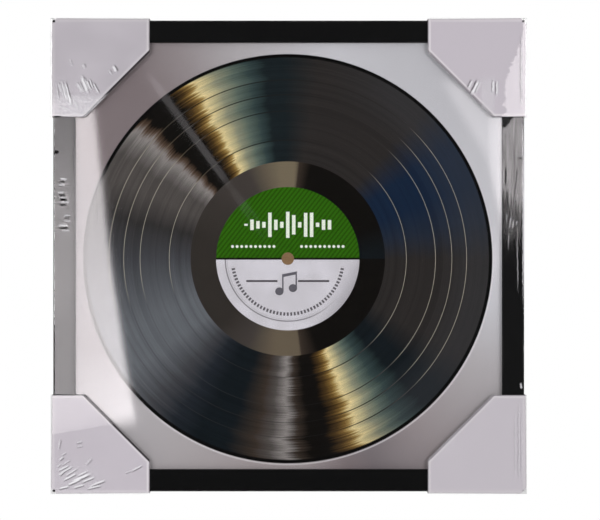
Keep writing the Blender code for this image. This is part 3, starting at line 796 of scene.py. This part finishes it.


# Creases on each corner, pale as painted glints, in millimetres in from the outer side and from the
# top or bottom
CORNER_CREASES_AND_GLINTS = {
    "top_left": (
        (3.0, 44.5, 6.3, 54.5, 0.4, 0.5), (5.8, 43.4, 9.9, 60.0, 0.5, 0.75),
        (8.1, 43.4, 13.6, 63.6, 0.55, 0.8), (16.8, 45.2, 21.9, 53.5, 0.8, 0.55),
        (20.0, 39.7, 25.6, 54.4, 1.0, 0.85), (24.2, 43.4, 27.9, 51.7, 0.45, 0.7),
        (26.5, 42.5, 29.3, 50.8, 0.4, 0.65), (28.8, 45.2, 33.8, 54.4, 0.5, 0.6),
        (21.4, 31.9, 23.3, 35.2, 0.9, 0.4), (43.5, 32.8, 46.7, 38.3, 0.9, 0.75),
        (40.5, 36.0, 43.0, 40.0, 0.5, 0.35), (12.0, 28.0, 14.0, 34.0, 0.4, 0.2),
        (1.6, 44.0, 4.2, 60.0, 0.3, 0.35), (4.4, 44.0, 8.0, 58.5, 0.3, 0.45),
        (7.0, 44.5, 11.4, 61.0, 0.3, 0.5), (18.4, 44.0, 23.4, 54.0, 0.35, 0.45),
        (22.4, 41.0, 26.6, 52.5, 0.35, 0.5), (2.6, 62.0, 14.0, 66.5, 0.35, 0.2),
        (15.0, 58.0, 19.0, 66.0, 0.3, 0.25),
    ),
    "top_right": (
        (37.5, 43.4, 41.2, 50.5, 0.8, 0.6), (33.0, 43.4, 38.9, 55.0, 0.9, 0.85),
        (31.3, 44.0, 36.0, 54.4, 0.4, 0.5), (22.6, 42.5, 22.8, 54.0, 0.5, 0.6),
        (19.9, 43.4, 20.1, 56.0, 0.5, 0.65), (1.9, 8.0, 1.9, 66.0, 0.4, 0.5),
    ),
    "bottom_left": (
        (28.4, 13.6, 12.4, 6.7, 0.8, 0.9), (26.0, 15.6, 17.0, 11.0, 0.5, 0.6),
        (38.6, 8.5, 28.0, 4.4, 0.6, 0.75), (33.5, 7.4, 26.0, 3.0, 0.5, 0.6),
        (23.4, 5.3, 14.2, 2.6, 0.5, 0.7), (15.0, 19.0, 4.0, 12.6, 0.5, 0.6),
        (18.5, 17.5, 8.0, 11.0, 0.4, 0.55), (7.7, 25.8, 4.0, 22.7, 0.5, 0.6),
        (9.5, 29.0, 5.5, 26.0, 0.35, 0.4), (8.3, 15.5, 4.0, 11.6, 0.6, 0.65),
        (28.4, 25.0, 22.9, 19.0, 0.8, 0.3), (66.0, 19.6, 56.5, 14.6, 0.45, 0.6),
        (58.0, 15.6, 52.0, 13.4, 0.35, 0.3), (21.7, 36.8, 16.6, 35.8, 0.4, 0.45),
        (22.0, 33.8, 17.0, 32.6, 0.35, 0.35), (5.0, 39.0, 3.6, 30.0, 0.5, 0.4),
        (31.0, 11.0, 20.0, 6.4, 0.5, 0.8), (21.0, 9.6, 10.0, 4.4, 0.5, 0.9),
        (17.6, 13.6, 6.5, 7.8, 0.5, 0.85), (12.0, 19.5, 3.0, 15.0, 0.5, 0.7),
        (13.0, 23.5, 5.0, 18.6, 0.35, 0.4), (36.0, 4.6, 24.0, 1.8, 0.45, 0.7),
        (12.0, 4.0, 3.4, 2.0, 0.5, 0.8), (6.5, 21.0, 2.0, 17.5, 0.3, 0.45),
    ),
    "bottom_right": (
        (3.6, 4.0, 3.6, 68.0, 0.35, 0.2), (6.4, 6.0, 6.4, 62.0, 0.3, 0.1),
        (1.6, 2.0, 1.6, 66.0, 0.3, 0.18),
    ),
}

# Soft pale places on each corner, milky film with painted highlights: the middle, half the width,
# half the height, and the strength
CORNER_HAZE_AND_HIGHLIGHTS = {
    "top_left": ((22.0, 63.0), 22.0, 9.0, 0.24),
    "top_right": ((26.5, 55.0), 5.5, 14.0, 0.16),
    "bottom_left": ((14.0, 9.0), 22.0, 12.0, 0.07),
    "bottom_right": ((60.0, 40.0), 12.0, 12.0, 0.05),
}

# How dark the film is made at the very tip of each corner
CORNER_TIPS = {"top_left": 0.9, "top_right": 0.5, "bottom_left": 0.9, "bottom_right": 0.1}


def jagged_gloss(surface, across, down):
    """The film mirrors only outside a jagged line that leans in as it comes down."""
    jag = surface.noise(down, 0.22, 3.0, 0.7) - 0.5
    line = rise(down, 4.0, 52.0) * 13.5 + 0.6 + jag * 9.0 * rise(down, 6.0, 20.0)
    return rise(across - line, 0.6, -0.6)


def corner_film(corner, side_x, side_z):
    """The look of the film over one card corner: its creases with painted glints and painted shade,
    and milky film with painted highlights.
    """
    surface = Surface(f"corner_film_{corner}")
    x, _, z = surface.axes(surface.mapped(centre=(0, 0, MIDDLE_HEIGHT)))
    warp = surface.cloud(0.3) - 0.5
    across = x * -side_x + HALF_SIDE * MM + warp * 1.2
    down = z * -side_z + HALF_SIDE * MM
    creases_and_glints, shade = strokes(across, down, CORNER_CREASES_AND_GLINTS[corner])
    shade = shade * (creases_and_glints * -1.0 + 1.0)
    middle, half_x, half_z, share = CORNER_HAZE_AND_HIGHLIGHTS[corner]
    off_x = ((across - middle[0]) / half_x).size()
    off_z = ((down - middle[1]) / half_z).size()
    pale = rise(off_x.most(off_z), 1.2, 0.5)
    fine = surface.noise(surface.mapped((0.5, 1, 0.5)), 1.0, 3.0, 0.6)
    haze = surface.cloud(0.04, 3.0)
    # White film: creases with painted glints, and soft places of milky film with painted highlights
    white = creases_and_glints * 0.9 + pale * share * (fine * 0.8 + 0.6)
    gloss = haze * 0.2 + 0.9
    if corner == "top_right":
        gloss = jagged_gloss(surface, across, down)
    elif corner == "bottom_left":
        gloss = rise(down - across * 0.17, 41.0, 43.0) * 0.7
    normal = surface.bump(fine * pale + haze * 0.2, 0.00008)
    # Painted shade beside each crease darkens what shows through the film
    painted_shade_tint = shade * -0.3 + 1.0
    clear = clear_shader(surface, gloss * CORNER_GLOSS, haze * 0.04 + 0.04, normal, painted_shade_tint)
    clear = add_film(surface, clear, white, WHITE_FILM)
    # Dark marks at the corner's tip, and on the top left one more at the card's end
    dark_tips = spot(across, down, (0.4, 0.4), 1.0, 1.0)
    if corner == "top_left":
        dark_tips = dark_tips.most(spot(across, down, (3.2, 70.6), 3.0, 0.7))
    return show(surface, add_film(surface, clear, dark_tips * CORNER_TIPS[corner], DARK_FILM))


# Making pieces


def only(piece):
    """Makes one piece the selected and active one."""
    bpy.ops.object.select_all(action="DESELECT")
    piece.select_set(True)
    bpy.context.view_layer.objects.active = piece


def settle(piece):
    """Puts a piece's place, turn and size into its mesh."""
    only(piece)
    bpy.ops.object.transform_apply(location=True, rotation=True, scale=True)


def pick(piece, kind, test):
    """Selects the faces or edges that pass a test of their middle, ready for edit mode."""
    mesh = piece.data
    bpy.context.tool_settings.mesh_select_mode = (False, kind == "edges", kind == "faces")
    for group in (mesh.vertices, mesh.edges, mesh.polygons):
        for item in group:
            item.select = False
    chosen = mesh.polygons if kind == "faces" else mesh.edges
    for item in chosen:
        points = [mesh.vertices[index].co for index in item.vertices]
        middle = sum(points, Vector()) / len(points)
        if test(middle, points):
            item.select = True
            for index in item.vertices:
                mesh.vertices[index].select = True


def score(piece, point, normal):
    """Cuts a line of edges across a sheet."""
    only(piece)
    bpy.ops.object.mode_set(mode="EDIT")
    bpy.ops.mesh.select_all(action="SELECT")
    bpy.ops.mesh.bisect(plane_co=point, plane_no=normal)
    bpy.ops.object.mode_set(mode="OBJECT")


def edit(piece, kind, test, operator, **settings):
    """Runs a mesh operator on the faces or edges that pass a test."""
    only(piece)
    pick(piece, kind, test)
    bpy.ops.object.mode_set(mode="EDIT")
    operator(**settings)
    bpy.ops.object.mode_set(mode="OBJECT")


def drop_faces(piece, test):
    edit(piece, "faces", test, bpy.ops.mesh.delete, type="FACE")


def pull_edges(piece, test, move):
    extrude = bpy.ops.mesh.extrude_region_move
    edit(piece, "edges", test, extrude, TRANSFORM_OT_translate={"value": move})


def round_edges(piece, test, width):
    shape = {"offset": width, "offset_type": "OFFSET", "segments": 3, "affect": "EDGES"}
    edit(piece, "edges", test, bpy.ops.mesh.bevel, **shape)


def thicken(piece):
    """Gives a film sheet its wall, half to each side."""
    wall = piece.modifiers.new("wall", "SOLIDIFY")
    wall.thickness = FILM_THICKNESS
    wall.offset = 0.0
    only(piece)
    bpy.ops.object.modifier_apply(modifier=wall.name)
    bpy.ops.object.shade_smooth_by_angle(angle=math.radians(40))


def flat_sheet(name, width, cells, middle):
    """A square sheet that faces out of the frame's front."""
    bpy.ops.mesh.primitive_grid_add(
        x_subdivisions=cells, y_subdivisions=cells,
        size=width, location=middle, rotation=(QUARTER_TURN, 0, 0),
    )
    sheet = bpy.context.object
    sheet.name = name
    settle(sheet)
    return sheet


def in_corner(point, margin):
    """True if a place lies under a card corner, or within a margin of one."""
    in_x = HALF_SIDE - abs(point.x)
    in_z = HALF_SIDE - abs(point.z - MIDDLE_HEIGHT)
    reach = CARD_REACH + margin
    return max(in_x, in_z) < reach and in_x + in_z < CARD_DIAGONAL + margin * math.sqrt(2)


def score_corner(sheet, side_x, side_z, margin):
    """Scores a sheet along the three inner edges of a card corner."""
    reach = CARD_REACH + margin
    diagonal = CARD_DIAGONAL + margin * math.sqrt(2)
    edge_x = side_x * (HALF_SIDE - reach)
    edge_z = MIDDLE_HEIGHT + side_z * (HALF_SIDE - reach)
    score(sheet, (edge_x, 0, 0), (1, 0, 0))
    score(sheet, (0, 0, edge_z), (0, 0, 1))
    on_diagonal = (side_x * (HALF_SIDE - diagonal), 0, MIDDLE_HEIGHT + side_z * HALF_SIDE)
    score(sheet, on_diagonal, (side_x, 0, side_z))


def towards(point, way):
    """How far a place lies from the frame's middle, towards one of its sides."""
    return point.x * way[0] + (point.z - MIDDLE_HEIGHT) * way[2]


def fold_down(sheet, half, depth, rounding):
    """Folds the sheet down the outer sides and just round onto the back, and rounds its folds."""
    front = sheet.data.vertices[0].co.y
    near = half - FILM_FLAT
    for way in SIDES:
        score(sheet, (near * way[0], 0, MIDDLE_HEIGHT + near * way[2]), way)
    for way in SIDES:
        at = lambda p, y: towards(p, way) > half - MERGE and abs(p.y - y) < MERGE
        outer = lambda middle, points: all(at(p, front) for p in points)
        lower = lambda middle, points: all(at(p, front + depth) for p in points)
        pull_edges(sheet, outer, (0, depth, 0))
        pull_edges(sheet, lower, tuple(-FILM_RETURN * part for part in way))
    at_rim = lambda p: max(towards(p, way) for way in SIDES) > half - MERGE
    on_fold = lambda middle, points: all(
        at_rim(p) and abs(p.y - front) < MERGE for p in points
    )
    round_edges(sheet, on_fold, rounding)


def ripple(sheet):
    """Lets a taut sheet wander a little in and out."""
    for vertex in sheet.data.vertices:
        vertex.co.y += RIPPLE_HEIGHT * noise.noise(vertex.co / RIPPLE_LENGTH)


def film_over_front():
    """The film over the frame, cut out where the cards' own film takes over."""
    half = HALF_SIDE + FILM_GAP
    front = RAIL_FRONT - FILM_GAP
    sheet = flat_sheet("shrink_film_front", 2 * half, FILM_CELLS, (0, front, MIDDLE_HEIGHT))
    for _, side_x, side_z in CORNERS:
        score_corner(sheet, side_x, side_z, BARE_EDGE)
    drop_faces(sheet, lambda middle, points: in_corner(middle, BARE_EDGE))
    fold_down(sheet, half, RAIL_BACK + FILM_GAP - front, FILM_FOLD)
    ripple(sheet)
    thicken(sheet)
    sheet.data.materials.append(front_film().material)
    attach(sheet, "frame")


def film_over_corner(corner, side_x, side_z):
    """The film over one card corner, which leaves with the card."""
    low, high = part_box(f"corner_protector_{corner}")
    outer = max(abs(low.x), abs(high.x)) + FILM_GAP
    front = low.y - FILM_GAP
    width = outer - (HALF_SIDE - CARD_REACH)
    off = outer - width / 2
    middle = (side_x * off, front, MIDDLE_HEIGHT + side_z * off)
    sheet = flat_sheet(f"shrink_film_{corner}", width, CORNER_CELLS, middle)
    score_corner(sheet, side_x, side_z, 0)
    drop_faces(sheet, lambda middle, points: not in_corner(middle, 0))
    fold_down(sheet, outer, high.y + FILM_GAP - front, FILM_FOLD / 2)
    thicken(sheet)
    sheet.data.materials.append(corner_film(corner, side_x, side_z).material)
    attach(sheet, f"corner_protector_{corner}")


# Studio


def seen_directly(tree):
    """1 for rays from the camera and for those that metal and glass send on."""
    path = add_node(tree, "LightPath")
    names = ("Is Camera Ray", "Is Glossy Ray", "Is Transmission Ray")
    rays = [Field(tree, path.outputs[name]) for name in names]
    return rays[0].most(rays[1]).most(rays[2])


def light_world():
    """White all round, which lights rough faces less than it shows."""
    world = bpy.data.worlds.new("studio")
    world.use_nodes = True
    bpy.context.scene.world = world
    tree = world.node_tree
    background = tree.nodes["Background"]
    background.inputs["Color"].default_value = (1.0, 1.0, 1.0, 1.0)
    feed(tree, background.inputs["Strength"], seen_directly(tree) * (1 - AMBIENT) + AMBIENT)


def add_object(name, data):
    item = bpy.data.objects.new(name, data)
    bpy.context.scene.collection.objects.link(item)
    return item


def soft_lamp(name, place, width, watts, mirrored=True):
    """A square lamp that faces the frame's middle."""
    data = bpy.data.lights.new(name, "AREA")
    data.shape = "SQUARE"
    data.size = width
    data.energy = watts
    lamp = add_object(name, data)
    lamp.visible_camera = False
    lamp.visible_glossy = mirrored
    lamp.location = place
    way = Vector((0, 0, MIDDLE_HEIGHT)) - Vector(place)
    lamp.rotation_euler = way.to_track_quat("-Z", "Y").to_euler()


def stage_sheet(name, width, height, middle, facing):
    bpy.ops.mesh.primitive_plane_add(size=1, location=(0, 0, 0))
    sheet = bpy.context.object
    sheet.name = name
    sheet.scale = (width, height, 1)
    sheet.rotation_euler = facing
    sheet.location = middle
    settle(sheet)
    return sheet


def only_mirrored(sheet):
    """Shows a sheet in reflections alone."""
    for rays in ("camera", "diffuse", "shadow", "transmission"):
        setattr(sheet, "visible_" + rays, False)


def dark_screen():
    """The dark side of the studio, which the film mirrors back at the camera."""
    bpy.ops.mesh.primitive_cylinder_add(
        vertices=48, radius=SCREEN_RADIUS, depth=SCREEN_HEIGHT,
        end_fill_type="NOTHING", location=(0, 0, MIDDLE_HEIGHT),
    )
    screen = bpy.context.object
    screen.name = "dark_screen"
    settle(screen)
    drop_faces(screen, lambda middle, points: middle.y > SCREEN_EDGE)
    surface = Surface("dark_cloth")
    glow = add_node(surface.tree, "Emission")
    glow.inputs["Strength"].default_value = SCREEN_GLOW
    show(surface, glow)
    surface.material.cycles.emission_sampling = "NONE"
    screen.data.materials.append(surface.material)
    only_mirrored(screen)


def bright_panel(name, mask, strength, low, high):
    """A lit panel that only mirrors show. Its mask is in millimetres, as seen on the film."""
    scale = MM / PANEL_SPREAD
    width, height = ((last - first) / scale for first, last in zip(low, high))
    off_x, off_z = ((last + first) / 2 / scale for first, last in zip(low, high))
    middle = (off_x, RAIL_FRONT - PANEL_DISTANCE, off_z + MIDDLE_HEIGHT)
    panel = stage_sheet(name, width, height, middle, (QUARTER_TURN, 0, 0))
    surface = Surface(name)
    place = surface.mapped((1 / PANEL_SPREAD,) * 3, (0, 0, MIDDLE_HEIGHT))
    x, _, z = surface.axes(place)
    glow = add_node(surface.tree, "Emission")
    glow.inputs["Color"].default_value = PANEL_LIGHT
    lit = mask(x, z)
    feed(surface.tree, glow.inputs["Strength"], lit * strength)
    clear = add_node(surface.tree, "BsdfTransparent")
    share = rise(lit, 0.0, 0.02)
    show(surface, mix_shaders(surface.tree, share, clear, glow))
    panel.data.materials.append(surface.material)
    only_mirrored(panel)


def left_mask(x, z):
    """A wide pale field with a bowed inner edge and a slanting foot."""
    edge = z * z * 0.000196 - z * 0.1296 - 131.5
    inside = rise(x - edge, 3.0, -3.0).most(rise(x - edge, 6.0, -3.0) * 0.25)
    foot = x * 0.228 - 95.0
    level = rise(z, 90.0, -60.0) * 0.12 + 0.93
    return inside * level * rise(z, 121.0, 104.0) * rise(z - foot, -8.0, 8.0)


def streak_mask(x, z):
    """A long pale streak that fades as it comes down, with two fine lines after it."""
    way = (0.5875, -0.8092)
    from_x = x + 106.4
    from_z = z - 138.3
    along = from_x * way[0] + from_z * way[1]
    off = from_x * way[1] - from_z * way[0]
    width = along * -0.004 + 2.0
    end = rise(along, 112.0, 96.0)
    streak = rise(off.size() / width, 1.15, 0.75) * rise(along, 2.0, 12.0) * end
    edge = rise((off.size() - width).size(), 0.9, 0.2) * rise(along, 8.0, 20.0) * end
    faint = rise(off.size(), 3.0, 1.4) * band(along, 118.0, 10.0, 8.0)
    lines = rise((off.size() - 2.2).size(), 0.9, 0.3) * band(along, 132.0, 18.0, 10.0)
    return streak.most(edge * 1.4).most(faint * 0.45).most(lines * 0.5)


def right_mask(x, z):
    """A strip along the right side, and a fainter field above a slanting edge."""
    edge = rise(z, 5.0, 85.0) * -12.0 + 158.0
    hard = rise(x - edge, -3.5, 3.5) * rise(z, -9.0, 24.0)
    hard = hard * (rise(x, 151.0, 158.5) * 0.5 + 0.5)
    slanting = rise(x + z * 0.567 - 186.3, -5.0, 5.0) * rise(z, 135.0, 122.0)
    return hard.most(slanting * 0.25)


def build_studio():
    light_world()
    dark_screen()
    bright_panel("left_panel", left_mask, 4.25, (-215, -150), (-90, 135))
    bright_panel("right_panel", right_mask, 4.3, (100, -20), (215, 185))
    bright_panel("streak_panel", streak_mask, 0.45, (-125, -5), (0, 160))
    soft_lamp("key", (-1.05, -2.5, 0.1), 0.8, 22.5)
    soft_lamp("fill", (1.05, -2.5, 0.0), 0.8, 22.0)
    soft_lamp("back_left", (-1.3, 2.2, 0.6), 1.0, 22.0, mirrored=False)
    soft_lamp("back_right", (1.3, 2.2, 0.4), 1.0, 16.0, mirrored=False)
    floor = stage_sheet("floor", FLOOR_SIDE, FLOOR_SIDE, (0, 0, FLOOR_HEIGHT), (0, 0, 0))
    surface = Surface("pale_floor")
    tone = surface.cloud(0.004)
    surface.set(base_color=blend(surface.tree, ink(238, 238, 238), ink(242, 242, 242), tone))
    surface.set(roughness=0.9, specular_ior_level=0.1)
    x, y, _ = surface.axes(surface.mapped())
    clear = add_node(surface.tree, "BsdfTransparent")
    rim = FLOOR_SIDE * MM / 2
    fade = rise((x * x + y * y).root(), rim / 2, rim)
    faded = mix_shaders(surface.tree, fade, surface.shader, clear)
    surface.tree.links.new(faded.outputs[0], surface.output.inputs["Surface"])
    floor.data.materials.append(surface.material)
    floor.visible_glossy = False


def add_camera():
    data = bpy.data.cameras.new("camera")
    data.lens = CAMERA_LENS
    data.sensor_width = 36.0
    data.shift_x, data.shift_y = CAMERA_SHIFT
    camera = add_object("camera", data)
    camera.location = (0, RAIL_FRONT - CAMERA_DISTANCE, MIDDLE_HEIGHT)
    camera.rotation_euler = (QUARTER_TURN, 0, 0)
    bpy.context.scene.camera = camera


def dress_pieces():
    finishes = {
        "glazing": glazing_sheet(),
        "insert": record_print(),
        "filler": fluted_board(),
        "backboard": screen_backed_board(),
        "hardware": plated_metal("zinc_plating", ink(205, 205, 200), ink(176, 174, 168), 0.2),
        "hanger": plated_metal("brass_plating", ink(222, 190, 118), ink(186, 150, 84), 0.18),
        "card": protector_card(),
    }
    across = black_wrap("black_wrap_across", True)
    upright = black_wrap("black_wrap_upright", False)
    rails = {"rail_top": across, "rail_bottom": across, "rail_left": upright, "rail_right": upright}
    for part in frame["record"]["subparts"]:
        node = part["node"]
        dress(node, rails.get(node) or finishes[part["material_slot"]])


add_camera()
build_studio()
dress_pieces()
film_over_front()
for corner_name, x_side, z_side in CORNERS:
    film_over_corner(corner_name, x_side, z_side)
bpy.context.scene.view_settings.view_transform = "Standard"
